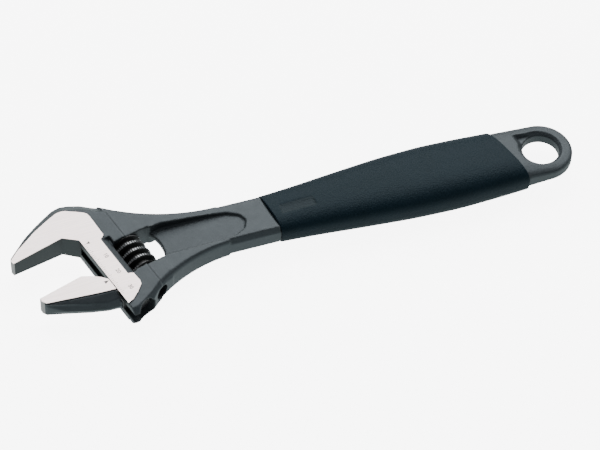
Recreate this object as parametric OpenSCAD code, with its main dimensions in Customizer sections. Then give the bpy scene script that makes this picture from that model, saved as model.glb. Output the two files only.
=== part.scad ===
// Adjustable wrench with an angled head, a moulded grip and a hanging ring.
// Millimetres. The origin is the centre of the hanging hole, on the middle plane.
// X runs from the head (-) to the ring (+), Z is the thickness direction.
// The head has its own frame: "a" along the jaw depth, "b" along the jaw travel.

/* [Head] */
// angle between the jaw depth direction and the handle, degrees
jaw_angle = 15; // [0:0.5:30]
// gap between the two jaw faces as drawn
jaw_gap = 22; // [14:0.5:30]
// half thickness of the ground head face at the front of the head (a = 0)
face_half = 5.97; // [5.5:0.05:7]
// growth of that half thickness for each mm further back
face_slope = 0.067; // [0:0.001:0.1]
// height of the ground face above the forged skin
land_height = 0.6; // [0.2:0.05:1.2]
// pull length from the middle of the head to the hanging hole
head_reach = 201.1; // [150:0.1:240]

/* [Slide and worm] */
// radius of the round slide of the moving jaw
slide_r = 5; // [4:0.05:5.2]
// radial clearance of the slide in its channel
slide_fit = 0.06; // [0.02:0.01:0.1]
// length of the round slide
slide_len = 29; // [24:0.5:32]
// half thickness of the web between jaw and slide
web_half = 2.4; // [1.8:0.05:3]
// distance from the slide axis to the worm axis
worm_offset = 10.4; // [10:0.05:11]
// outer radius of the worm thread
worm_r = 7; // [6.5:0.05:7.2]
// root radius of the worm thread
worm_root = 4.7; // [4.2:0.05:5.2]
// advance of the jaw for one turn of the worm
worm_lead = 4.2; // [3:0.1:5]
// length of the worm
worm_len = 17; // [14:0.5:18]
// radius of the pin that carries the worm
pin_r = 2.5; // [2:0.05:3]
// radial clearance of the worm on its pin
pin_fit = 0.05; // [0.01:0.01:0.1]

/* [Handle] */
// half thickness of the neck next to the grip
neck_half = 5.3; // [4:0.05:7]
// half thickness of the web left under the recessed panel at the worm window
panel_web = 1.3; // [1:0.05:3]
// angle at which the panel rises towards the grip
panel_tilt = 4.3; // [1:0.1:6]
// half width of the bar inside the grip
bar_half_width = 8.6; // [6:0.1:10]
// half thickness of the bar inside the grip
bar_half = 4.4; // [3:0.1:5]
// radius of the cylindrical wall of the hanging hole
hole_r = 8.3; // [6:0.1:10]
// outer radius of the ring
ring_r = 14.4; // [13:0.1:18]

/* [Hidden] */
$fn = 96;
pivot = [-head_reach, -0.3];
slide_a = 7;
slide_top = 7.2 - jaw_gap;
worm_a = slide_a + worm_offset;
worm_top = -14.4;
window_top = worm_top + 0.3;
window_end = worm_top - worm_len - 0.3;
plateau_back = 17.5;
travel_in = 22;
pin_head_r = 3.3;
pin_shoulder = -38;
spring_r = 3.5;
spring_in = 2.75;
spring_pocket = 3.75;
spring_depth = 5;
land_half = 2.2;
ring_half = 3.2;
front_angle = 10;
front_x = -128.4;
rear_angle = 16.8;
rear_x = -16.1;

// ---- frames and cutting tools ----

// head frame: a along the jaw depth, b along the jaw travel
module in_head() {
  translate([pivot[0], pivot[1], 0])
    rotate([0, 0, jaw_angle])
      translate([-8, 17, 0])
        children();
}

// plan outline made solid through the thickness
module plate(half) {
  translate([0, 0, -half])
    linear_extrude(height = 2 * half)
      children();
}

function half_at(a) = face_half + face_slope * a;

// space between the two tapering faces, set back by drop on each side
module taper(drop) {
  translate([0, 60, 0])
    rotate([90, 0, 0])
      linear_extrude(height = 140)
        polygon([
          [-32, -half_at(-32) + drop], [plateau_back, -half_at(plateau_back) + drop],
          [60, -half_at(plateau_back) + drop], [60, half_at(plateau_back) - drop],
          [plateau_back, half_at(plateau_back) - drop], [-32, half_at(-32) - drop]
        ]);
}

// removes what lies outside a sloping plane along the edge p to q (outside on the left),
// zp and zq are the heights of the edge, the plane falls at the angle fall
module bevel(p, q, zp, zq, fall) {
  run = norm(q - p);
  for (side = [0, 1])
    mirror([0, 0, side])
      translate([p[0], p[1], zp])
        rotate([0, 0, atan2(q[1] - p[1], q[0] - p[0])])
          rotate([0, -atan2(zq - zp, run), 0])
            rotate([-fall, 0, 0])
              translate([-60, 0, 0])
                cube([160, 60, 40]);
}

// round bar along b, from b0 down to b1
module bar_b(a, b0, b1, r) {
  translate([a, b0, 0])
    rotate([90, 0, 0])
      cylinder(h = b0 - b1, r = r);
}

// round cutter that leaves a hollow side with full rounded edges of radius rim
module spool(x, y, r, rim) {
  translate([x, y, 0])
    rotate_extrude($fn = 180)
      difference() {
        translate([0, -14])
          square([r + rim, 28]);
        spool_rim(r, rim);
      }
}

// what stays beside the cutter: the middle of the edge and its two quarter rounds
module spool_rim(r, rim) {
  edge = 5.9 - rim;
  translate([r, -edge])
    square([rim + 1, 2 * edge]);
  for (z = [-edge, edge])
    translate([r + rim, z])
      circle(r = rim, $fn = 48);
}

// half space beyond a slanted plane across the handle
module beyond(x, angle) {
  translate([x, 0, 0])
    rotate([0, 0, angle])
      translate([0, -60, -30])
        cube([200, 120, 60]);
}

// ---- body ----

module fixed_land_plan() {
  polygon([
    [-29.4, 0], [-29.6, 2], [-28.3, 2.9], [-24.8, 5], [-14, 9.5], [-6.5, 11.7],
    [-0.9, 13], [1.1, 12.8], [3.1, 12], [7.1, 8.6], [9.4, 6.5], [10.3, 5.1],
    [10.5, 3.1], [10.2, -8.7], [7.9, -10.1], [7.9, -31.9], [10.1, -33.1],
    [10.3, -37.9], [9.8, -39.9], [6.2, -42.8], [2.8, -44.8], [0, -45.4],
    [0, -5.3], [-5.5, 0]
  ]);
}

module head_plan() {
  polygon([
    [-29.4, 0], [-29.7, 2.2], [-28.7, 3.8], [-19, 10], [-11.7, 13.7], [-6.3, 15.9],
    [-0.8, 17.6], [3, 18.1], [7.1, 17.4], [11.4, 14.5], [plateau_back, 8.2],
    [plateau_back, -44.4], [14.9, -45.5], [7.8, -50.1], [3.8, -51.6], [0, -52],
    [0, -5.3], [-5.5, 0]
  ]);
}

module head_root_plan() {
  polygon([
    [17, 8.6], [19.5, 6], [24.5, 0.6], [27, -20], [24.5, -42],
    [20.7, -43], [17, -44.6]
  ]);
}

module head_blank() {
  difference() {
    intersection() {
      plate(10) head_plan();
      taper(land_height);
    }
    bevel([-29, 2.9], [-14, 9.9], 3.5, 4.6, 33);
    bevel([-14, 9.9], [-0.9, 13.4], 4.5, 5.4, 38);
    bevel([-0.9, 13.4], [3.5, 12.8], 5.4, 5.7, 34);
    bevel([3.5, 12.8], [11, 8], 5.6, 6.1, 36);
    bevel([11, 8], [17.5, 1.6], 6.1, 6.5, 40);
    bevel([17.5, -42.5], [10.4, -46], 6.5, 6.1, 50);
    bevel([10.4, -46], [2.5, -48.6], 6.1, 5.6, 52);
    bevel([2.5, -48.4], [-1, -48.2], 5.6, 5.3, 50);
  }
}

module head_root() {
  difference() {
    plate(5.9) head_root_plan();
    bevel([16, 6.5], [23, -1], 5.9, 5.9, 48);
    bevel([24.5, -39.6], [12.5, -44], 5.9, 5.9, 50);
  }
}

module neck_flare() {
  difference() {
    translate([-192, 0, 0])
      rotate([90, 0, 90])
        linear_extrude(height = 42)
          polygon([[-24, -7], [26, -7], [26, 7], [-24, 7]]);
    spool(-150, 94.4, 83.6, 3.1);
    spool(-145, -76.4, 65.9, 2.6);
    for (side = [0, 1])
      mirror([0, 0, side])
        translate([-196, -40, 5.95])
          rotate([0, 0.85, 0])
            cube([70, 80, 10]);
  }
}

module neck_bar() {
  difference() {
    translate([-152, 0, 0])
      rotate([90, 0, 90])
        linear_extrude(height = 40)
          polygon([
            [-10.7, -2.8], [-9.1, -neck_half], [9.3, -neck_half], [10.9, -2.8],
            [10.9, 2.8], [9.3, neck_half], [-9.1, neck_half], [-10.7, 2.8]
          ]);
    beyond(front_x, front_angle);
  }
}

module panel_plan() {
  polygon([
    [-185.5, 6.2], [-181, 7.2], [-175.5, 8.1], [-165, 7.4], [-155, 6.6], [-146.5, 5.3],
    [-141.5, 2.6], [-139.6, -1], [-141.4, -5], [-146, -7.6], [-153, -8.5],
    [-179, -8.9], [-185.5, -8.9]
  ]);
}

module window_plan() {
  intersection() {
    translate([11.3, window_end])
      square([30, window_top - window_end]);
    translate([14, -21.3])
      circle(r = 16.5);
  }
}

module grip_bar() {
  translate([-140, -bar_half_width, -bar_half])
    cube([130, 2 * bar_half_width, 2 * bar_half]);
}

// flat ring end, thinner at its tip than where it leaves the grip
module ring_tab() {
  difference() {
    intersection() {
      beyond(rear_x, rear_angle);
      hull() {
        rotate_extrude()
          polygon([
            [0, -ring_half], [ring_r - 1.5, -ring_half], [ring_r - 0.5, -ring_half + 0.4],
            [ring_r, -ring_half + 1.3], [ring_r, ring_half - 1.3],
            [ring_r - 0.5, ring_half - 0.4], [ring_r - 1.5, ring_half], [0, ring_half]
          ]);
        translate([-26, 0, 0])
          rotate([90, 0, 90])
            linear_extrude(height = 1)
              polygon([
                [-14.9, -2.6], [-14.1, -4.4], [-11.5, -5.7], [-8, -6.4], [8, -6.4],
                [11.5, -5.7], [14.1, -4.4], [14.9, -2.6], [14.9, 2.6], [14.1, 4.4],
                [11.5, 5.7], [8, 6.4], [-8, 6.4], [-11.5, 5.7], [-14.1, 4.4], [-14.9, 2.6]
              ]);
      }
    }
    ring_hole();
    for (side = [0, 1])
      mirror([0, 0, side])
        ring_recess();
  }
}

// through hole with a flare on both faces
module ring_hole() {
  rotate_extrude()
    polygon([
      [0, -9], [hole_r + 4, -9], [hole_r + 1.4, -ring_half - 0.2], [hole_r, -land_half],
      [hole_r, land_half], [hole_r + 1.4, ring_half + 0.2], [hole_r + 4, 9], [0, 9]
    ]);
}

// recess beside the hole with a straight sloping wall towards the grip
module ring_recess() {
  hull() {
    translate([0, 0, land_half + 0.2])
      linear_extrude(height = 0.1)
        polygon([[-7.6, 8.6], [-6.2, -1], [0, -1], [0, 8.6]]);
    translate([0, 0, 5])
      linear_extrude(height = 0.1)
        polygon([[-10.4, 10], [-8.8, -1.6], [0, -1.6], [0, 10]]);
  }
}

module body_cuts() {
  // channel of the slide, open at the lower end
  bar_b(slide_a, slide_top + travel_in + 1, -60, slide_r + slide_fit);
  // slot of the web through the head front
  translate([-6, -60, -web_half - 0.1])
    cube([13, 53.4, 2 * web_half + 0.2]);
  // worm window with room for the worm
  plate(12) window_plan();
  bar_b(worm_a, window_top, window_end, worm_r + 0.3);
  // thumb relief between the ground strip and the window
  for (side = [0, 1])
    mirror([0, 0, side])
      translate([0, -10.1, 0])
        rotate([90, 0, 0])
          linear_extrude(height = 22.2)
            polygon([[8.1, 6], [12, 4], [12, 10], [8.1, 10]]);
  // bore of the pin: blind end above the window, head recess below
  bar_b(worm_a, -7.8, -60, pin_r + pin_fit);
  bar_b(worm_a, pin_shoulder, -60, pin_head_r + pin_fit);
}

module body() {
  color([0.42, 0.44, 0.45])
    difference() {
      union() {
        in_head() {
          head_blank();
          head_root();
          intersection() {
            plate(10) fixed_land_plan();
            taper(0);
          }
        }
        neck_flare();
        neck_bar();
        difference() {
          grip_bar();
          beyond(-12, 0);
        }
        ring_tab();
      }
      in_head() body_cuts();
      for (side = [0, 1])
        mirror([0, 0, side])
          translate([-180, 0, panel_web])
            rotate([0, -panel_tilt, 0])
              translate([180, 0, 0])
                linear_extrude(height = 9)
                  panel_plan();
    }
}

// ---- moving jaw ----

module jaw_plan() {
  polygon([
    [-29.4, 0], [-9.2, 0], [-5.3, -2.6], [-2.2, -5.4], [-0.3, -7.9], [-0.3, -19.9],
    [-3.5, -19.6], [-8.5, -18.1], [-14.2, -15.2], [-21, -10.4], [-28.3, -4.5],
    [-29.7, -1.9]
  ]);
}

module jaw_land_plan() {
  polygon([
    [-29.4, 0], [-9.2, 0], [-5.3, -2.6], [-2.2, -5.4], [-0.3, -7.9], [-0.3, -14.2],
    [-7.2, -11.9], [-19.5, -7.3], [-28.4, -3.9], [-29.5, -1.9]
  ]);
}

// angle of the rack grooves across the slide
rack_tilt = atan(worm_lead / (2 * PI * 6.1));
// radial depth line of the rack groove floor, measured from the slide axis
rack_floor = worm_offset - worm_r - 0.3;

module rack_groove() {
  rotate([rack_tilt, 0, 0])
    translate([0, 0, -8])
      linear_extrude(height = 16)
        polygon([
          [rack_floor, -0.85], [slide_r + 1.5, -1.95],
          [slide_r + 1.5, 1.95], [rack_floor, 0.85]
        ]);
}

module slide() {
  difference() {
    bar_b(0, 7.2, 7.2 - slide_len, slide_r);
    for (k = [-2 : 6])
      translate([0, 7.2 + rack_phase - k * worm_lead, 0])
        rack_groove();
  }
}

// offset of the first rack groove from the slide top, set by the worm phase
rack_phase = -2.75;

module movable_jaw() {
  color([0.5, 0.51, 0.52])
    in_head()
      translate([0, -jaw_gap, 0]) {
        difference() {
          intersection() {
            plate(10) jaw_plan();
            taper(land_height);
          }
          bevel([0, -14.9], [-7.2, -12.6], 5.3, 4.9, 30);
          bevel([-7.2, -12.6], [-19.5, -7.8], 4.9, 4.1, 27);
          bevel([-19.5, -7.8], [-28.8, -3.9], 4.1, 3.5, 30);
          bevel([0, -17.9], [-6, -16.4], 3.4, 3.3, 62);
          bevel([-6, -16.4], [-13, -13.1], 3.3, 3, 62);
          bevel([-13, -13.1], [-20.5, -8.6], 3, 3, 62);
        }
        intersection() {
          plate(10) jaw_land_plan();
          taper(0);
        }
        translate([-1, -19.3, -web_half])
          cube([slide_a + 0.5, 12.5, 2 * web_half]);
        translate([slide_a, 0, 0])
          slide();
      }
}

// ---- worm set ----

crest_share = 0.27;
root_share = 0.30;
flank_share = (1 - crest_share - root_share) / 2;
crest_steps = 8;
flank_steps = 6;
root_steps = 7;

function turn(r, t) = r * [cos(360 * t), sin(360 * t)];

// section across the thread: crest arc, rising and falling flanks, root arc
module thread_section() {
  flank_start = crest_share / 2;
  root_start = flank_start + flank_share;
  depth = worm_r - worm_root;
  polygon(concat(
    [for (i = [0 : crest_steps]) turn(worm_r, crest_share * (i / crest_steps - 0.5))],
    [for (i = [1 : flank_steps]) let (s = i / flank_steps) turn(worm_r - depth * s, flank_start + flank_share * s)],
    [for (i = [1 : root_steps]) turn(worm_root, root_start + root_share * i / root_steps)],
    [for (i = [1 : flank_steps - 1]) let (s = i / flank_steps) turn(worm_root + depth * s, root_start + root_share + flank_share * s)]
  ));
}

module worm() {
  color([0.6, 0.6, 0.61])
    in_head()
      translate([worm_a, worm_top, 0])
        rotate([90, 0, 0])
          difference() {
            rotate([0, 0, 90])
              linear_extrude(height = worm_len, twist = 360 * worm_len / worm_lead, slices = 84, $fn = 24)
                thread_section();
            translate([0, 0, -1])
              cylinder(h = worm_len + 2, r = pin_r + pin_fit);
            translate([0, 0, worm_len - spring_depth])
              cylinder(h = spring_depth + 1, r = spring_pocket);
          }
}

module worm_pin() {
  color([0.66, 0.66, 0.64])
    in_head()
      difference() {
        union() {
          bar_b(worm_a, -8, pin_shoulder, pin_r);
          bar_b(worm_a, pin_shoulder, -41, pin_head_r);
        }
        translate([worm_a - 5, -42, -0.45])
          cube([10, 2, 0.9]);
      }
}

spring_len = spring_depth + 0.2;
spring_turns = 5;
wire = 0.75;

module spring_section() {
  share = wire * spring_turns / spring_len;
  steps = 9;
  polygon(concat(
    [for (i = [0 : steps]) spring_r * [cos(360 * share * i / steps), sin(360 * share * i / steps)]],
    [for (i = [steps : -1 : 0]) spring_in * [cos(360 * share * i / steps), sin(360 * share * i / steps)]]
  ));
}

module worm_spring() {
  color([0.72, 0.72, 0.7])
    in_head()
      translate([worm_a, window_end, 0])
        rotate([-90, 0, 0])
          linear_extrude(height = spring_len, twist = 360 * spring_turns, slices = 45, $fn = 12)
            spring_section();
}

// ---- grip ----

// half width and half thickness of the grip along the handle
grip_x = [-132, -114, -91, -70, -49, -31, -10];
grip_w = [11.3, 12.4, 14.5, 16.3, 17, 16.4, 15.5];
grip_h = [6.4, 7.0, 7.9, 8.5, 8.9, 8.6, 7.5];

// flattened oval section of the grip
module grip_section(w, h) {
  power = 0.68;
  polygon([
    for (i = [0 : 43])
      let (c = cos(360 * i / 44), s = sin(360 * i / 44))
        [w * sign(c) * pow(abs(c), power), h * sign(s) * pow(abs(s), power)]
  ]);
}

module grip_slice(i) {
  translate([grip_x[i], 0, 0])
    rotate([90, 0, 90])
      linear_extrude(height = 0.01)
        grip_section(grip_w[i], grip_h[i]);
}

module grip_sleeve() {
  color([0.16, 0.18, 0.2])
    difference() {
      for (i = [0 : 5])
        hull() {
          grip_slice(i);
          grip_slice(i + 1);
        }
      grip_bar();
      difference() {
        translate([-190, -60, -30])
          cube([80, 120, 60]);
        beyond(front_x, front_angle);
      }
      beyond(rear_x, rear_angle);
    }
}

body();
movable_jaw();
worm();
worm_pin();
worm_spring();
grip_sleeve();
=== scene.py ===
# Adjustable wrench: forged body, sliding jaw, worm, pin, spring and moulded grip,
# on a pale floor in soft studio light. Lengths are in metres unless a name says mm.
import math

import bmesh
import bpy
import numpy as np
from mathutils import Matrix, Vector


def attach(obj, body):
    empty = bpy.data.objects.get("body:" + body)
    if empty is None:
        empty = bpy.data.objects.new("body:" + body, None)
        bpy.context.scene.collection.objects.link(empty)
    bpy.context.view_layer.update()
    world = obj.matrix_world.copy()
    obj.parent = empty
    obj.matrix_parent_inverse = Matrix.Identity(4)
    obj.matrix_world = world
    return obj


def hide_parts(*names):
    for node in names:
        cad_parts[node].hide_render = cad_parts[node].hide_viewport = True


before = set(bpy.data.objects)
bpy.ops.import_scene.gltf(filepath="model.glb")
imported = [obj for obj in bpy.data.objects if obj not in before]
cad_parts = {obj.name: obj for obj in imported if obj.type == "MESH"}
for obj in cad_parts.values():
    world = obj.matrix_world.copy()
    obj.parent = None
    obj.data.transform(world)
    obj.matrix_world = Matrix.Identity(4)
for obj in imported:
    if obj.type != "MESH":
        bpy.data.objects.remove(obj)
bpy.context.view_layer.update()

MM = 0.001

# ---------------------------------------------------------------- head frame
# a runs along the jaw depth towards the handle, b along the jaw travel towards
# the fixed jaw, both in mm; the frame is turned by the head angle.

HEAD_TURN = math.radians(15)
HEAD_MIDDLE = (-201.1, -0.3)  # x and y in mm of the point the head is turned about
HEAD_OFFSET = (-8, 17)  # from that point to a = 0, b = 0, along a and b
FACE_HALF = 5.97
FACE_SLOPE = 0.067
LAND_HEIGHT = 0.6
JAW_GAP = 22.0
WORM_A = 17.4
WORM_TOP = -14.4
WORM_LENGTH = 17.0
WORM_LEAD = 4.2
CLEAR_OF_TOOL = 12  # a height in mm that is past both faces
CAD_MERGE = 2e-6  # metres within which points of a CAD mesh are one
CUT_MERGE = 3e-6  # the same after a cut

head_to_world = (
    Matrix.Translation((HEAD_MIDDLE[0] * MM, HEAD_MIDDLE[1] * MM, 0))
    @ Matrix.Rotation(HEAD_TURN, 4, "Z")
    @ Matrix.Translation((HEAD_OFFSET[0] * MM, HEAD_OFFSET[1] * MM, 0))
    @ Matrix.Scale(MM, 4)
)


def half_thickness(a):
    """Half thickness in mm of the ground face at depth a, a number or a Wire."""
    return FACE_HALF + FACE_SLOPE * a


# ---------------------------------------------------------------- node expressions


class Wire:
    """One output of a node. Arithmetic on it adds Math nodes to the same tree."""

    def __init__(self, board, socket):
        self.board, self.socket = board, socket

    def _math(self, operation, first, second):
        return self.board.add("ShaderNodeMath", {"operation": operation}, {0: first, 1: second})[0]

    def __add__(self, other):
        return self._math("ADD", self, other)

    def __sub__(self, other):
        return self._math("SUBTRACT", self, other)

    def __rsub__(self, other):
        return self._math("SUBTRACT", other, self)

    def __mul__(self, other):
        return self._math("MULTIPLY", self, other)

    def __truediv__(self, other):
        return self._math("DIVIDE", self, other)

    def __pow__(self, other):
        return self._math("POWER", self, other)

    def __mod__(self, other):
        return self._math("FLOORED_MODULO", self, other)

    def __abs__(self):
        return self._math("ABSOLUTE", self, 0.0)

    def above(self, limit):
        return self._math("GREATER_THAN", self, limit)

    def cosine(self):
        return self._math("COSINE", self, 0.0)

    def sine(self):
        return self._math("SINE", self, 0.0)

    __radd__ = __add__
    __rmul__ = __mul__

    def rise(self, low, high):
        """0 below low, 1 above high, smooth between."""
        return self.board.add(
            "ShaderNodeMapRange",
            {"interpolation_type": "SMOOTHSTEP", "clamp": True},
            {"Value": self, "From Min": low, "From Max": high},
        )["Result"]


class Outlets:
    """The outputs of a node that was just added, by name or number."""

    def __init__(self, board, node):
        self.board, self.node = board, node

    def __getitem__(self, key):
        return Wire(self.board, self.node.outputs[key])


class Board:
    """A shader or geometry tree that nodes are added to."""

    def __init__(self, tree):
        self.tree = tree

    def add(self, kind, settings=None, sockets=None):
        node = self.tree.nodes.new(kind)
        for key, value in (settings or {}).items():
            setattr(node, key, value)
        for key, value in (sockets or {}).items():
            self.feed(node.inputs[key], value)
        return Outlets(self, node)

    def feed(self, socket, value):
        if isinstance(value, Wire):
            self.tree.links.new(value.socket, socket)
        else:
            socket.default_value = value

    def blend(self, factor, first, second):
        """A colour between first and second."""
        return self.add(
            "ShaderNodeMix", {"data_type": "RGBA"}, {0: factor, 6: first, 7: second}
        )[2]

    def place(self):
        """The surface point in metres, in the shared frame."""
        return self.add("ShaderNodeTexCoord")["Object"]

    def triple(self, *values):
        """A vector from up to three values."""
        return self.add("ShaderNodeCombineXYZ", {}, dict(enumerate(values)))[0]

    def turned(self, vector, turn=(0, 0, 0), scale=(1, 1, 1)):
        return self.add(
            "ShaderNodeMapping", {}, {"Vector": vector, "Rotation": turn, "Scale": scale}
        )[0]

    def noise(self, vector, scale, detail=3.0, roughness=0.55):
        return self.add(
            "ShaderNodeTexNoise",
            {},
            {"Vector": vector, "Scale": scale, "Detail": detail, "Roughness": roughness},
        )[0]

    def split(self, vector):
        parts = self.add("ShaderNodeSeparateXYZ", {}, {0: vector})
        return parts[0], parts[1], parts[2]


def tone(red, green, blue):
    return (red, green, blue, 1.0)


def head_fields(board):
    """a, b and z of the surface point in mm, in the head frame."""
    x, y, z = board.split(board.place())
    u = x * 1000 - HEAD_MIDDLE[0]
    v = y * 1000 - HEAD_MIDDLE[1]
    c, s = math.cos(HEAD_TURN), math.sin(HEAD_TURN)
    return u * c + v * s - HEAD_OFFSET[0], v * c - u * s - HEAD_OFFSET[1], z * 1000


def noise_field(scale, detail, base=0.0, gain=1.0):
    """A function of a board that gives base plus gain times a noise on the piece."""

    def build(board):
        field = board.noise(board.place(), scale, detail)
        return field if (base, gain) == (0.0, 1.0) else base + gain * field

    return build


def finish(name, colour, roughness, metallic, bumps=(), constants=None):
    """A material. Colour, roughness and metallic are values or functions of a board,
    bumps are pairs of a height function and a depth in mm, constants are by socket name."""
    material = bpy.data.materials.new(name)
    material.use_nodes = True
    tree = material.node_tree
    tree.nodes.clear()
    board = Board(tree)
    shader = board.add("ShaderNodeBsdfPrincipled")
    output = board.add("ShaderNodeOutputMaterial")
    tree.links.new(shader.node.outputs[0], output.node.inputs[0])
    for key, value in (constants or {}).items():
        shader.node.inputs[key].default_value = value
    for key, make in (("Base Color", colour), ("Roughness", roughness), ("Metallic", metallic)):
        board.feed(shader.node.inputs[key], make(board) if callable(make) else make)
    normal = None
    for make, depth in bumps:
        sockets = {"Height": make(board), "Distance": depth * MM, "Strength": 1.0}
        if normal is not None:
            sockets["Normal"] = normal
        normal = board.add("ShaderNodeBump", {}, sockets)["Normal"]
    if normal is not None:
        board.feed(shader.node.inputs["Normal"], normal)
    return material


# ---------------------------------------------------------------- finishes


def phosphate_colour(board):
    place = board.place()
    cloud = board.noise(place, 90, 4).rise(0.3, 0.7)
    grain = board.noise(place, 2600, 2).rise(0.3, 0.7)
    worn = board.add("ShaderNodeAttribute", {"attribute_name": "edge"})["Fac"]
    rub = (worn * (0.55 + board.noise(place, 420, 3))).rise(0.35, 1.0)
    skin = board.blend(cloud, tone(0.022, 0.027, 0.031), tone(0.028, 0.034, 0.039))
    skin = board.blend(grain * 0.35, skin, tone(0.045, 0.05, 0.053))
    skin = board.blend(rub * 0.3, skin, tone(0.08, 0.08, 0.079))
    # painted reflection: the jaw tips, where a is below about -29 mm, are painted pale grey in
    # place of light from the left
    a, b, z = head_fields(board)
    return board.blend(1 - a.rise(-29.3, -28.8), skin, tone(0.33, 0.34, 0.335))


def phosphate_roughness(board):
    place = board.place()
    return 0.42 + 0.1 * board.noise(place, 300, 3) + 0.06 * board.noise(place, 2600, 2)


phosphate = finish(
    "phosphated_forging",
    phosphate_colour,
    phosphate_roughness,
    0.0,
    bumps=(
        (noise_field(260, 3), 0.12),
        (noise_field(1900, 3), 0.05),
    ),
    constants={"Specular Tint": (0.82, 0.94, 1.0, 1.0)},
)


def grind_lines(board):
    """Fine lines left by the grinding wheel, along the jaw depth."""
    stretched = board.turned(board.place(), (0, 0, -HEAD_TURN), (90, 4200, 90))
    return board.noise(stretched, 1.0, 4, 0.6)


def ground_top(a, z):
    """1 on the ground faces, 0 on the sides below them."""
    return (abs(z) - half_thickness(a)).rise(-0.16, -0.08)


def ground_colour(board):
    place = board.place()
    lines = grind_lines(board).rise(0.3, 0.7)
    cloud = board.noise(place, 130, 4).rise(0.35, 0.7)
    bright = board.blend(lines, tone(0.74, 0.645, 0.625), tone(0.98, 0.87, 0.85))
    bright = board.blend(cloud * 0.45, bright, tone(0.86, 0.73, 0.71))
    a, b, z = head_fields(board)
    # the block's sides take the dark forged tone, but the jaw tips get a pale grey painted
    # reflection in place of light from the left
    painted_tip_light, side = tone(0.3, 0.29, 0.285), tone(0.03, 0.036, 0.037)
    sides_and_painted_tip_light = board.blend(a.rise(-28.95, -28.75), painted_tip_light, side)
    return board.blend(ground_top(a, z), sides_and_painted_tip_light, bright)


def ground_roughness(board):
    return 0.34 + 0.14 * grind_lines(board)


def ground_metallic(board):
    a, b, z = head_fields(board)
    return 0.7 + 0.25 * ground_top(a, z)


ground = finish(
    "ground_steel",
    ground_colour,
    ground_roughness,
    ground_metallic,
    bumps=((grind_lines, 0.012), (noise_field(700, 3), 0.02)),
)


def slide_colour(board):
    place = board.place()
    film = board.noise(place, 160, 3).rise(0.35, 0.7)
    lines = board.noise(board.turned(place, (0, 0, -HEAD_TURN), (3500, 120, 3500)), 1.0, 3)
    steel = board.blend(lines, tone(0.3, 0.31, 0.31), tone(0.42, 0.42, 0.42))
    return board.blend(film * 0.6, steel, tone(0.12, 0.125, 0.13))


turned_steel = finish(
    "oiled_turned_steel",
    slide_colour,
    noise_field(900, 3, 0.3, 0.15),
    0.9,
    bumps=((noise_field(1500, 2), 0.02),),
)


def worm_mask(board):
    """1 on the rubbed crests of the worm, 0 in its grooves, which are blackened and darkened
    further with painted shade.
    """
    a, b, z = head_fields(board)
    radius = ((a - WORM_A) ** 2.0 + abs(z) ** 2.0) ** 0.5
    return radius.rise(6.5, 6.85)


def worm_colour(board):
    scuff = board.noise(board.place(), 1400, 3).rise(0.3, 0.75)
    bright = board.blend(scuff, tone(0.34, 0.35, 0.36), tone(0.1, 0.104, 0.108))
    # grooves near-black: blackened steel plus painted shade in the recess; the rubbed crests are
    # lighter from wear
    return board.blend(worm_mask(board), tone(0.004, 0.0045, 0.005), bright)


worm_steel = finish(
    "blackened_worm_steel",
    worm_colour,
    lambda board: 0.5 - 0.16 * worm_mask(board),
    lambda board: 0.1 + 0.7 * worm_mask(board),
    bumps=((noise_field(2200, 2), 0.03),),
)


def spring_colour(board):
    return board.blend(
        board.noise(board.place(), 800, 2), tone(0.38, 0.37, 0.35), tone(0.55, 0.54, 0.52)
    )


spring_wire = finish(
    "spring_wire",
    spring_colour,
    noise_field(1500, 2, 0.28, 0.12),
    1.0,
)


def pin_colour(board):
    return board.blend(
        board.noise(board.place(), 500, 3).rise(0.35, 0.65),
        tone(0.03, 0.032, 0.035),
        tone(0.08, 0.08, 0.08),
    )


pin_steel = finish(
    "blackened_pin",
    pin_colour,
    noise_field(1200, 2, 0.4, 0.15),
    0.7,
    bumps=((noise_field(1500, 2), 0.02),),
)


def pebble(board):
    """Fine leathery grain of the moulding."""
    cells = board.add(
        "ShaderNodeTexVoronoi",
        {"feature": "SMOOTH_F1"},
        {"Vector": board.place(), "Scale": 1500.0, "Smoothness": 0.6},
    )["Distance"]
    return cells + 0.5 * board.noise(board.place(), 2400, 2)


def grip_colour(board):
    cloud = board.noise(board.place(), 60, 4).rise(0.3, 0.7)
    speck = pebble(board).rise(0.3, 0.9)
    base = board.blend(cloud, tone(0.002, 0.0075, 0.012), tone(0.003, 0.0105, 0.0165))
    base = board.blend(speck * 0.5, base, tone(0.008, 0.017, 0.025))
    x, y, z = board.split(board.place())
    plate = (x * 1000).rise(-124.2, -123.8) * (1 - (x * 1000).rise(-108.2, -107.8))
    plate = plate * (y * 1000).rise(-3.7, -3.3) * (1 - (y * 1000).rise(1.3, 1.7))
    return board.blend(plate * z.above(0.0) * 0.6, base, tone(0.025, 0.032, 0.036))


grip_plastic = finish(
    "grained_black_plastic",
    grip_colour,
    lambda board: 0.4 + 0.12 * pebble(board),
    0.0,
    bumps=(
        (pebble, 0.09),
        (noise_field(240, 3), 0.1),
    ),
    constants={"IOR": 1.45, "Specular IOR Level": 0.16, "Specular Tint": (0.72, 0.93, 1.0, 1.0)},
)

mark_grey = finish(
    "etched_mark",
    lambda board: board.blend(
        board.noise(board.place(), 1800, 2), tone(0.04, 0.038, 0.038), tone(0.13, 0.12, 0.12)
    ),
    0.55,
    0.4,
)

# ---------------------------------------------------------------- shaping helpers


def new_piece(name, mesh):
    piece = bpy.data.objects.new(name, mesh)
    bpy.context.scene.collection.objects.link(piece)
    return piece


def remove(piece):
    mesh = piece.data
    bpy.data.objects.remove(piece)
    bpy.data.meshes.remove(mesh)


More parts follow.
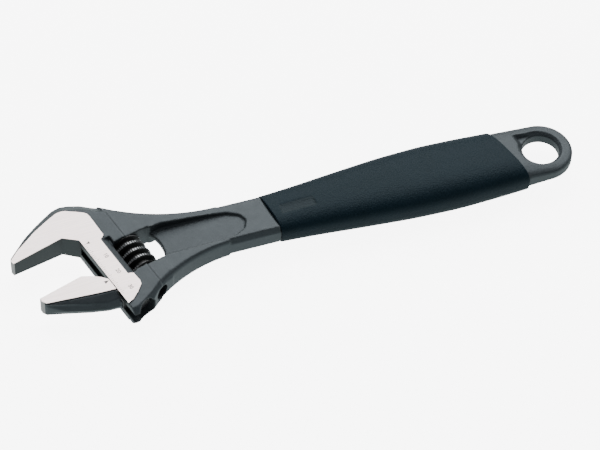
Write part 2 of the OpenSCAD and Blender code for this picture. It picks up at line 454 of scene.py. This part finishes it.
def settle(piece):
    """Bakes the piece's modifiers into a plain mesh."""
    graph = bpy.context.evaluated_depsgraph_get()
    shaped = bpy.data.meshes.new_from_object(piece.evaluated_get(graph))
    old = piece.data
    piece.modifiers.clear()
    piece.data = shaped
    shaped.name = piece.name
    bpy.data.meshes.remove(old)


def rework(piece, merge, *steps):
    """Merges the piece's points and then runs each step on its mesh."""
    shell = bmesh.new()
    shell.from_mesh(piece.data)
    bmesh.ops.remove_doubles(shell, verts=shell.verts, dist=merge)
    for step in steps:
        step(shell)
    shell.to_mesh(piece.data)
    shell.free()


def from_node(node, name):
    """A merged copy of a CAD node's mesh."""
    piece = new_piece(name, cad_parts[node].data.copy())
    piece.data.materials.clear()
    rework(piece, CAD_MERGE)
    return piece


def prism_piece(name, floor_spots, roof_spots):
    """A closed piece between two rings of points."""
    shell = bmesh.new()
    floor = [shell.verts.new(spot) for spot in floor_spots]
    roof = [shell.verts.new(spot) for spot in roof_spots]
    shell.faces.new(floor)
    shell.faces.new(roof)
    for i in range(len(floor)):
        j = (i + 1) % len(floor)
        shell.faces.new((floor[i], floor[j], roof[j], roof[i]))
    bmesh.ops.recalc_face_normals(shell, faces=shell.faces)
    mesh = bpy.data.meshes.new(name)
    shell.to_mesh(mesh)
    shell.free()
    return new_piece(name, mesh)


def head_prism(name, outline, low, high):
    """A solid over an outline of (a, b) points in mm, between two heights in mm,
    which are numbers or functions of a."""

    def ring(height):
        height_at = height if callable(height) else lambda a: height
        return [head_to_world @ Vector((a, b, height_at(a))) for a, b in outline]

    return prism_piece(name, ring(low), ring(high))


def drop_slivers(shell):
    bmesh.ops.dissolve_degenerate(shell, dist=CUT_MERGE, edges=shell.edges)


def triangulate(shell):
    bmesh.ops.triangulate(shell, faces=shell.faces)


def join_flat_faces(shell):
    bmesh.ops.dissolve_limit(
        shell, angle_limit=math.radians(1.5), verts=shell.verts, edges=shell.edges
    )


def carve(piece, outline, operation, low=-CLEAR_OF_TOOL, high=CLEAR_OF_TOOL):
    """Cuts a prism out of the piece, or keeps only what is inside it."""
    tool = head_prism("tool", outline, low, high)
    step = piece.modifiers.new("carve", "BOOLEAN")
    step.operation, step.solver, step.object = operation, "EXACT", tool
    settle(piece)
    remove(tool)
    rework(piece, CUT_MERGE, drop_slivers, triangulate)


def clean_planes(piece):
    """Joins the triangles of each flat face, so that only real edges are left."""
    rework(piece, CUT_MERGE, join_flat_faces)


def break_edges(piece, width_mm):
    step = piece.modifiers.new("broken_edges", "BEVEL")
    step.width = width_mm * MM
    step.segments = 2
    step.limit_method = "ANGLE"
    step.angle_limit = math.radians(35)
    step.use_clamp_overlap = True
    settle(piece)


def forge_skin(piece, cell_mm, rounds):
    """Evens the mesh and softens its edges as drop forging and blasting leave them."""
    grid = piece.modifiers.new("even_skin", "REMESH")
    grid.mode, grid.voxel_size, grid.use_smooth_shade = "VOXEL", cell_mm * MM, True
    soften = piece.modifiers.new("soften", "SMOOTH")
    soften.factor, soften.iterations = 0.5, rounds
    settle(piece)
    piece.data.polygons.foreach_set("use_smooth", [True] * len(piece.data.polygons))


EDGE_GAIN = 0.0011  # turns a bend per metre into a wear value


def mark_edges(piece, rounds=3):
    """Stores how convex the skin is at each point, for the wear on its edges."""
    mesh = piece.data
    count = len(mesh.vertices)
    place = np.empty(count * 3, np.float32)
    mesh.vertices.foreach_get("co", place)
    normal = np.empty(count * 3, np.float32)
    mesh.vertices.foreach_get("normal", normal)
    place, normal = place.reshape(-1, 3), normal.reshape(-1, 3)
    ends = np.empty(len(mesh.edges) * 2, np.int32)
    mesh.edges.foreach_get("vertices", ends)
    first, second = ends.reshape(-1, 2).T
    step = place[second] - place[first]
    length = np.maximum(np.linalg.norm(step, axis=1), 1e-9)
    bend = ((normal[second] - normal[first]) * step).sum(1) / length**2
    total = np.bincount(first, bend, count) + np.bincount(second, bend, count)
    share = np.bincount(first, minlength=count) + np.bincount(second, minlength=count)
    share = np.maximum(share, 1)
    level = total / share
    for _ in range(rounds):
        around = np.bincount(first, level[second], count)
        around = around + np.bincount(second, level[first], count)
        level = 0.5 * level + 0.5 * around / share
    stored = mesh.attributes.new("edge", "FLOAT", "POINT")
    stored.data.foreach_set("value", np.clip(level * EDGE_GAIN, 0, 1.5).astype(np.float32))


def dress(piece, material, body, *nodes, smooth=None, slot=None):
    """Gives the piece its finish and fixes it to its body."""
    piece.data.materials.clear()
    piece.data.materials.append(material)
    if smooth is not None:
        piece.data.polygons.foreach_set("use_smooth", [smooth] * len(piece.data.polygons))
    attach(piece, body)
    if nodes:
        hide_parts(*nodes)


def solid_from(name, rings, closed_tube=False):
    """A closed mesh over an array of rings (ring, point, xyz) in metres."""
    count, around = rings.shape[:2]
    verts = rings.reshape(-1, 3)
    i, j = np.meshgrid(np.arange(count - 1), np.arange(around), indexing="ij")
    k = (j + 1) % around
    here, there = i * around, (i + 1) * around
    quads = np.stack([here + j, here + k, there + k, there + j], -1)
    faces = [tuple(q) for q in quads.reshape(-1, 4).tolist()]
    if closed_tube:
        last = (count - 1) * around
        faces += [(last + n, last + (n + 1) % around, (n + 1) % around, n) for n in range(around)]
    else:
        faces.append(tuple(range(around))[::-1])
        faces.append(tuple((count - 1) * around + n for n in range(around)))
    mesh = bpy.data.meshes.new(name)
    mesh.from_pydata(verts.tolist(), [], faces)
    shell = bmesh.new()
    shell.from_mesh(mesh)
    bmesh.ops.recalc_face_normals(shell, faces=shell.faces)
    shell.to_mesh(mesh)
    shell.free()
    return new_piece(name, mesh)


# ---------------------------------------------------------------- forged body

fixed_land = [
    (-29.4, 0), (-29.6, 2), (-28.3, 2.9), (-24.8, 5), (-14, 9.5), (-6.5, 11.7),
    (-0.9, 13), (1.1, 12.8), (3.1, 12), (7.1, 8.6), (9.4, 6.5), (10.3, 5.1),
    (10.5, 3.1), (10.2, -8.7), (7.9, -10.1), (7.9, -31.9), (10.1, -33.1),
    (10.3, -37.9), (9.8, -39.9), (6.2, -42.8), (2.8, -44.8), (0, -45.4),
    (0, -5.3), (-5.5, 0),
]

# the part of the head that the ground block takes over: it stays inside the land's
# outer edge and runs past the jaw face and the throat
block_seat = [
    (-31, -1), (-31, 1.6), (-28.2, 2.3), (-24.6, 4.4), (-13.9, 8.9), (-6.5, 11.1),
    (-0.9, 12.4), (1, 12.2), (2.8, 11.4), (6.7, 8.2), (9, 6.1), (9.8, 4.9),
    (9.9, 3.1), (9.6, -8.4), (7.3, -9.8), (7.3, -32.2), (9.5, -33.5),
    (9.7, -37.8), (9.3, -39.6), (5.9, -42.3), (2.6, -44.2), (-1, -44.8),
    (-1, -5.7), (-6, -1),
]

# a little wider than the land, for cutting it away
land_room = [
    (-31, -1), (-31, 2.2), (-28.4, 3.15), (-24.9, 5.25), (-14.1, 9.75), (-6.6, 11.95),
    (-0.9, 13.3), (1.2, 13.05), (3.3, 12.2), (7.3, 8.8), (9.6, 6.7), (10.5, 5.2),
    (10.75, 3.2), (10.45, -8.9), (8.1, -10.3), (8.1, -31.7), (10.3, -32.9),
    (10.55, -37.9), (10, -40.1), (6.3, -43.1), (2.9, -45.1), (-1, -45.8),
    (-1, -5.7), (-6, -1),
]


def lower_to_skin(piece, outline):
    """Cuts the raised land off down to the forged skin around it, on both sides."""

    def skin(a):
        return half_thickness(a) - LAND_HEIGHT

    carve(piece, outline, "DIFFERENCE", low=skin)
    carve(piece, outline, "DIFFERENCE", high=lambda a: -skin(a))


forging = from_node("body", "forged_head")
ground_block = from_node("body", "ground_head_faces")
carve(ground_block, fixed_land, "INTERSECT")
clean_planes(ground_block)
break_edges(ground_block, 0.12)
lower_to_skin(forging, land_room)
carve(forging, block_seat, "DIFFERENCE")
ring_end = from_node("body", "forged_ring_end")
grip_bar = from_node("body", "bar_inside_grip")


def across_handle(start, stop):
    """A block across the handle between two places along it in mm, in the head frame."""
    corners = [(start, -60), (stop, -60), (stop, 60), (start, 60)]
    turned = [head_to_world.inverted() @ Vector((x * MM, y * MM, 0)) for x, y in corners]
    return [(spot.x, spot.y) for spot in turned]


carve(forging, across_handle(-260, -126), "INTERSECT")
carve(ring_end, across_handle(-21, 30), "INTERSECT")
carve(grip_bar, across_handle(-126, -21), "INTERSECT")
for steel in (forging, ring_end):
    forge_skin(steel, 0.38, 4)
    mark_edges(steel)
    dress(steel, phosphate, "wrench", "body", slot="forged_steel")
clean_planes(grip_bar)
break_edges(grip_bar, 0.4)
dress(grip_bar, phosphate, "wrench", "body", slot="forged_steel", smooth=False)
dress(ground_block, ground, "wrench", slot="forged_steel", smooth=False)

# ---------------------------------------------------------------- sliding jaw


def at_gap(points):
    return [(a, b - JAW_GAP) for a, b in points]


jaw_land = at_gap([
    (-29.4, 0), (-9.2, 0), (-5.3, -2.6), (-2.2, -5.4), (-0.3, -7.9), (-0.3, -14.2),
    (-7.2, -11.9), (-19.5, -7.3), (-28.4, -3.9), (-29.5, -1.9),
])
jaw_seat = at_gap([
    (-31, 1), (-9, 1), (-4.9, -1.9), (-1.6, -4.9), (-0.5, -7), (-0.5, -13.6),
    (-7.1, -11.3), (-19.4, -6.7), (-28.2, -3.3), (-31, -1.7),
])
jaw_land_room = at_gap([
    (-31, 1), (-9, 1), (-4.9, -1.9), (-1.6, -4.9), (0, -7.4), (0, -14.5),
    (-7.3, -12.2), (-19.6, -7.6), (-28.5, -4.2), (-31, -2.4),
])
jaw_front = at_gap([(-40, 5), (-0.35, 5), (-0.35, -30), (-40, -30)])

jaw_skin = from_node("movable_jaw", "forged_sliding_jaw")
jaw_block = from_node("movable_jaw", "ground_jaw_faces")
jaw_slide = from_node("movable_jaw", "jaw_slide_and_rack")
carve(jaw_block, jaw_land, "INTERSECT")
carve(jaw_slide, jaw_front, "DIFFERENCE")
clean_planes(jaw_block)
clean_planes(jaw_slide)
break_edges(jaw_block, 0.12)
break_edges(jaw_slide, 0.1)
lower_to_skin(jaw_skin, jaw_land_room)
carve(jaw_skin, jaw_front, "INTERSECT")
carve(jaw_skin, jaw_seat, "DIFFERENCE")
forge_skin(jaw_skin, 0.3, 4)
mark_edges(jaw_skin)
dress(jaw_skin, phosphate, "sliding_jaw", "movable_jaw", slot="jaw_steel")
dress(jaw_block, ground, "sliding_jaw", slot="jaw_steel", smooth=False)
dress(jaw_slide, turned_steel, "sliding_jaw", slot="jaw_steel", smooth=False)

# ---------------------------------------------------------------- worm

CREST_SHARE = 0.27
ROOT_SHARE = 0.30
WORM_R = 6.62
WORM_ROOT = 4.7
PIN_BORE = 2.55
SPRING_POCKET = 3.75
SPRING_DEPTH = 5.0


def thread_radius(share):
    """Radius of the thread, share 0 on the crest's middle, 0.5 in the groove."""
    flank = (1 - CREST_SHARE - ROOT_SHARE) / 2
    drop = np.clip((share - CREST_SHARE / 2) / flank, 0, 1)
    return WORM_R - (WORM_R - WORM_ROOT) * drop


def worm_mesh():
    """Rings of the worm: down the thread, round the spring pocket and up the pin bore."""
    threaded = np.linspace(0.5, WORM_LENGTH - 0.5, 130)
    depth = np.concatenate([[0, 0.25], threaded, [WORM_LENGTH - 0.25, WORM_LENGTH]])
    angle = np.linspace(0, 2 * math.pi, 97)[:-1]
    h, phi = np.meshgrid(depth, angle, indexing="ij")
    turn = (phi / (2 * math.pi) - 0.25 + h / WORM_LEAD) % 1
    radius = thread_radius(np.minimum(turn, 1 - turn))
    end_gap = np.minimum(h, WORM_LENGTH - h)
    radius = np.minimum(radius, WORM_R - 0.45 + end_gap * 0.9)
    rings = [np.stack([radius * np.cos(phi), -h, radius * np.sin(phi)], -1)]

    def inner(r, at):
        ring = np.stack([r * np.cos(angle), np.full_like(angle, -at), r * np.sin(angle)], -1)
        rings.append(ring[None])

    inner(SPRING_POCKET + 0.2, WORM_LENGTH)
    inner(SPRING_POCKET, WORM_LENGTH - 0.2)
    inner(SPRING_POCKET, WORM_LENGTH - SPRING_DEPTH)
    inner(PIN_BORE, WORM_LENGTH - SPRING_DEPTH)
    inner(PIN_BORE, 0.2)
    inner(PIN_BORE + 0.2, 0)
    spots = np.concatenate(rings)
    spots[..., 0] += WORM_A
    spots[..., 1] += WORM_TOP
    ones = np.ones((spots.shape[0] * spots.shape[1], 1))
    flat = np.concatenate([spots.reshape(-1, 3), ones], 1)
    world = (np.array(head_to_world) @ flat.T).T[:, :3]
    return world.reshape(spots.shape)


worm = solid_from("worm_thread", worm_mesh(), closed_tube=True)


def geometry_tree(name, inputs):
    tree = bpy.data.node_groups.new(name, "GeometryNodeTree")
    tree.interface.new_socket("Geometry", in_out="OUTPUT", socket_type="NodeSocketGeometry")
    for label, value in inputs.items():
        kind = "NodeSocketInt" if isinstance(value, int) else "NodeSocketFloat"
        if isinstance(value, bpy.types.Material):
            kind = "NodeSocketMaterial"
        tree.interface.new_socket(label, in_out="INPUT", socket_type=kind)
    board = Board(tree)
    return tree, board, board.add("NodeGroupInput")


def end_tree(tree, board, shape, material):
    real = board.add("GeometryNodeRealizeInstances", {}, {0: shape})[0]
    done = board.add("GeometryNodeSetMaterial", {}, {"Geometry": real, "Material": material})[0]
    board.add("NodeGroupOutput", {}, {0: done})


def row_of_points(board, count, spot):
    """Count points, each moved to spot, which is a vector that reads the index."""
    line = board.add(
        "GeometryNodeMeshLine", {"mode": "OFFSET"}, {"Count": count, "Offset": (0, 0, 0)}
    )[0]
    return board.add("GeometryNodeSetPosition", {}, {"Geometry": line, "Position": spot})[0]


def grow(name, tree, inputs, place):
    """Runs a geometry tree on an empty piece, bakes it, and puts it at a place."""
    piece = new_piece(name, bpy.data.meshes.new(name))
    step = piece.modifiers.new("grow", "NODES")
    step.node_group = tree
    for item in tree.interface.items_tree:
        if item.in_out == "INPUT":
            step[item.identifier] = inputs[item.name]
    settle(piece)
    piece.data.transform(place)
    if place.determinant() < 0:
        piece.data.flip_normals()
    return piece


def knurl_tree(inputs):
    """Small axial ridges that follow the crest of the thread."""
    tree, board, given = geometry_tree("knurl_on_crest", inputs)
    turn = board.add("GeometryNodeInputIndex")[0] * given["Step angle"]
    reach = given["Crest radius"]
    depth = turn * given["Lead"] / (2 * math.pi) + given["Start"]
    spot = board.triple(turn.cosine() * reach, turn.sine() * reach, depth)
    points = row_of_points(board, given["Ridges"], spot)
    size = board.triple(given["Ridge height"], given["Ridge width"], given["Ridge length"])
    ridge = board.add("GeometryNodeMeshCube", {}, {"Size": size})[0]
    turned = board.triple(0.0, 0.0, turn)
    many = board.add(
        "GeometryNodeInstanceOnPoints",
        {},
        {"Points": points, "Instance": ridge, "Rotation": turned},
    )[0]
    end_tree(tree, board, many, given["Material"])
    return tree


knurl_inputs = {
    "Ridges": 150,
    "Step angle": math.radians(9),
    "Crest radius": WORM_R,
    "Lead": WORM_LEAD,
    "Start": 0.75,
    "Ridge height": 0.74,
    "Ridge width": 0.46,
    "Ridge length": 1.0,
    "Material": worm_steel,
}
# the thread's crest is at a quarter turn where the depth is 0, and turns backwards with depth
start_turn = math.radians(90 - 360 * knurl_inputs["Start"] / WORM_LEAD)
worm_place = (
    head_to_world
    @ Matrix.Translation((WORM_A, WORM_TOP, 0))
    @ Matrix(((1, 0, 0, 0), (0, 0, -1, 0), (0, 1, 0, 0), (0, 0, 0, 1)))
    @ Matrix.Scale(-1, 4, (0, 1, 0))
    @ Matrix.Rotation(-start_turn, 4, "Z")
)
knurl = grow("worm_knurl", knurl_tree(knurl_inputs), knurl_inputs, worm_place)

dress(worm, worm_steel, "adjusting_worm", "worm", smooth=False, slot="worm_steel")
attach(knurl, "adjusting_worm")


def spring_tree(inputs):
    """A round wire coiled round the pin."""
    tree, board, given = geometry_tree("coil_spring", inputs)
    coil = board.add(
        "GeometryNodeCurveSpiral",
        {},
        {
            "Resolution": given["Points per turn"],
            "Rotations": given["Turns"],
            "Start Radius": given["Coil radius"],
            "End Radius": given["Coil radius"],
            "Height": given["Length"],
        },
    )[0]
    wire = board.add(
        "GeometryNodeCurvePrimitiveCircle",
        {"mode": "RADIUS"},
        {"Resolution": 12, "Radius": given["Wire radius"]},
    )[0]
    tube = board.add(
        "GeometryNodeCurveToMesh", {}, {"Curve": coil, "Profile Curve": wire, "Fill Caps": True}
    )[0]
    smooth = board.add("GeometryNodeSetShadeSmooth", {}, {0: tube})[0]
    end_tree(tree, board, smooth, given["Material"])
    return tree


spring_inputs = {
    "Points per turn": 36,
    "Turns": 5.0,
    "Coil radius": 3.12,
    "Length": 4.4,
    "Wire radius": 0.36,
    "Material": spring_wire,
}
SPRING_FOOT = WORM_TOP - WORM_LENGTH + 0.08
spring_place = (
    head_to_world
    @ Matrix.Translation((WORM_A, SPRING_FOOT, 0))
    @ Matrix.Rotation(math.radians(-90), 4, "X")
)
spring = grow("coil_spring", spring_tree(spring_inputs), spring_inputs, spring_place)
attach(spring, "wrench")
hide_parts("worm_spring")

# ---------------------------------------------------------------- pin

pin = from_node("worm_pin", "slotted_worm_pin")
clean_planes(pin)
break_edges(pin, 0.25)
dress(pin, pin_steel, "wrench", "worm_pin", smooth=False, slot="pin_steel")

# ---------------------------------------------------------------- scale on the ground face

face_place = (
    head_to_world
    @ Matrix.Translation((0, 0, FACE_HALF))
    @ Matrix.Rotation(-math.atan(FACE_SLOPE), 4, "Y")
)


def tick_tree(inputs):
    """Graduation lines, longer at every fifth."""
    tree, board, given = geometry_tree("graduations", inputs)
    index = board.add("GeometryNodeInputIndex")[0]
    long_one = 1 - ((index + 0.5) % 5.0).above(1.0)
    length = given["Length"] * (1 + 0.7 * long_one)
    spot = board.triple(given["Margin"] + length * 0.5, index * given["Spacing"])
    points = row_of_points(board, given["Lines"], spot)
    bar = board.add("GeometryNodeMeshCube", {}, {"Size": (1.0, 0.13, 0.03)})[0]
    size = board.triple(length, 1.0, 1.0)
    many = board.add(
        "GeometryNodeInstanceOnPoints",
        {},
        {"Points": points, "Instance": bar, "Scale": size},
    )[0]
    end_tree(tree, board, many, given["Material"])
    return tree


tick_inputs = {
    "Lines": 32,
    "Spacing": -1.0,
    "Length": 1.0,
    "Margin": 0.3,
    "Material": mark_grey,
}
SCALE_ZERO = -8.7  # b of the first graduation
MARK_HALF = 0.015  # half the thickness of a mark
ticks = grow(
    "graduation_lines",
    tick_tree(tick_inputs),
    tick_inputs,
    face_place @ Matrix.Translation((0, SCALE_ZERO, 0)),
)
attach(ticks, "wrench")


NUMBER_A = 5.2


def number_mark(text, along):
    """A number laid flat on the ground face."""
    curve = bpy.data.curves.new("number_" + text, "FONT")
    curve.body = text
    curve.size = 2.5
    curve.align_x, curve.align_y = "CENTER", "CENTER"
    curve.extrude = MARK_HALF
    curve.offset = 0.03
    holder = bpy.data.objects.new("number_" + text, curve)
    bpy.context.scene.collection.objects.link(holder)
    graph = bpy.context.evaluated_depsgraph_get()
    mesh = bpy.data.meshes.new_from_object(holder.evaluated_get(graph))
    bpy.data.objects.remove(holder)
    piece = new_piece("graduation_" + text, mesh)
    quarter_turn = Matrix.Rotation(math.radians(-90), 4, "Z")
    piece.data.transform(face_place @ Matrix.Translation((NUMBER_A, along, 0)) @ quarter_turn)
    dress(piece, mark_grey, "wrench", smooth=False)


for tens in (10, 20, 30):
    number_mark(str(tens), SCALE_ZERO - tens)


def wedge_mark(name, points, body):
    """A flat pointer on the ground face."""
    low, high = ([(a, b, height) for a, b in points] for height in (-MARK_HALF, MARK_HALF))
    piece = prism_piece(name, low, high)
    piece.data.transform(face_place)
    dress(piece, mark_grey, body, smooth=False)


JAW_READING = SCALE_ZERO - JAW_GAP
wedge_mark(
    "zero_mark",
    [(1.4, SCALE_ZERO), (3.1, SCALE_ZERO + 0.7), (3.1, SCALE_ZERO - 0.7)],
    "wrench",
)
wedge_mark(
    "jaw_pointer",
    [(-0.6, JAW_READING), (-2.7, JAW_READING + 0.85), (-2.7, JAW_READING - 0.85)],
    "sliding_jaw",
)

# ---------------------------------------------------------------- grip

GRIP_X = (-132, -114, -91, -70, -49, -31, -10)
GRIP_W = (11.3, 12.4, 14.5, 16.3, 17, 16.4, 15.5)
GRIP_H = (6.4, 7.0, 7.9, 8.5, 8.9, 8.6, 7.5)
FRONT_X, FRONT_SLANT = -128.4, math.radians(10)
REAR_X, REAR_SLANT = -16.1, math.radians(16.8)


def fair(values, x):
    """Values of the grip's stations at x, with the corners eased out."""
    reach = np.linspace(-9, 9, 19)
    weight = np.exp(-(reach**2) / 40)
    weight /= weight.sum()
    return sum(w * np.interp(x + r, GRIP_X, values) for w, r in zip(weight, reach))


EDGE_ROUND = 0.55
SQUARENESS = 0.68  # 1 would make the section an ellipse
PLATE_DEPTH = 0.4


def grip_mesh():
    """Rings of the grip from front to rear, with rounded ends and slanted faces."""
    length = REAR_X - FRONT_X
    edge = EDGE_ROUND
    near = np.array([0, 0.04, 0.1, 0.2, 0.32, 0.45, edge])
    middle = np.linspace(edge, length - edge, 230)[1:-1]
    along = np.concatenate([near, middle, length - near[::-1]])
    angle = np.linspace(0, 2 * math.pi, 161)[:-1]
    gap = np.minimum(along, length - along)
    inset = edge - np.sqrt(np.maximum(edge**2 - np.maximum(edge - gap, 0) ** 2, 0))
    x = FRONT_X + along
    w = fair(GRIP_W, x) - inset - 0.02
    h = fair(GRIP_H, x) - inset - 0.02
    c, s = np.cos(angle), np.sin(angle)
    y = w[:, None] * (np.sign(c) * np.abs(c) ** SQUARENESS)[None]
    z = h[:, None] * (np.sign(s) * np.abs(s) ** SQUARENESS)[None]
    share = (along / length)[:, None]
    front = FRONT_X - y * math.tan(FRONT_SLANT)
    rear = REAR_X - y * math.tan(REAR_SLANT)
    gx = front + (rear - front) * share
    # shallow blank plate near the front of the upper face
    px, py = np.abs(gx + 116) - 8, np.abs(y + 1) - 2.5
    away = np.maximum(px, py)
    pad = np.clip(-away / 0.35, 0, 1) * (z > 0)
    z = z - PLATE_DEPTH * pad
    return np.stack([gx, y, z], -1) * MM


grip = solid_from("moulded_grip", grip_mesh())
dress(grip, grip_plastic, "wrench", "grip_sleeve", smooth=True, slot="grip_plastic")

# ---------------------------------------------------------------- floor, light and camera

FLOOR_Z = -0.0092
FLOOR_REACH = 6
floor_mesh = bpy.data.meshes.new("floor")
floor_corners = [
    (x * FLOOR_REACH, y * FLOOR_REACH, FLOOR_Z) for x, y in ((-1, -1), (1, -1), (1, 1), (-1, 1))
]
floor_mesh.from_pydata(floor_corners, [], [(0, 1, 2, 3)])
floor = new_piece("floor", floor_mesh)
floor_paint = finish(
    "pale_floor",
    lambda board: board.blend(
        board.noise(board.place(), 3, 2), tone(0.8, 0.8, 0.8), tone(0.82, 0.82, 0.82)
    ),
    0.8,
    0.0,
    constants={"Emission Color": (1, 1, 1, 1), "Emission Strength": 7.0},
)
# seen from underneath the floor is clear, so that the tool's lower side shows
paint = Board(floor_paint.node_tree)
shown = floor_paint.node_tree.nodes["Principled BSDF"].outputs[0]
clear = paint.add("ShaderNodeBsdfTransparent")[0]
under = paint.add("ShaderNodeNewGeometry")["Backfacing"]
either = paint.add("ShaderNodeMixShader", {}, {0: under, 1: Wire(paint, shown), 2: clear})[0]
paint.feed(floor_paint.node_tree.nodes["Material Output"].inputs[0], either)
floor.data.materials.append(floor_paint)
floor.visible_diffuse = False
floor.visible_glossy = False

world = bpy.data.worlds.new("studio")
world.use_nodes = True
sky = Board(world.node_tree)
height = sky.split(sky.add("ShaderNodeTexCoord")["Generated"])[2]
glow = sky.blend(height.rise(-0.15, 0.25), tone(1.25, 1.38, 1.38), tone(0.22, 0.23, 0.24))
sky.feed(world.node_tree.nodes["Background"].inputs[0], glow)
bpy.context.scene.world = world


def soft_light(name, spot, aim, width, height, power):
    data = bpy.data.lights.new(name, "AREA")
    data.shape, data.size, data.size_y, data.energy = "RECTANGLE", width, height, power
    lamp = bpy.data.objects.new(name, data)
    bpy.context.scene.collection.objects.link(lamp)
    lamp.location = spot
    lamp.rotation_euler = (Vector(aim) - Vector(spot)).to_track_quat("-Z", "Y").to_euler()


TOOL_MIDDLE = (-0.11, 0, 0)
soft_light("back_softbox", (0.21, 0.77, 1.0), TOOL_MIDDLE, 1.5, 1.1, 27)

CAMERA_SPOT = (-0.37197, -0.63329, 0.81903)
CAMERA_TURN = (39.4915, -2.2619, -19.4253)  # degrees
camera_data = bpy.data.cameras.new("camera")
camera_data.sensor_width = 36
camera_data.lens = 146.25
camera_data.clip_start, camera_data.clip_end = 0.01, 50
camera = bpy.data.objects.new("camera", camera_data)
bpy.context.scene.collection.objects.link(camera)
camera.location = CAMERA_SPOT
camera.rotation_euler = tuple(math.radians(turn) for turn in CAMERA_TURN)
bpy.context.scene.camera = camera
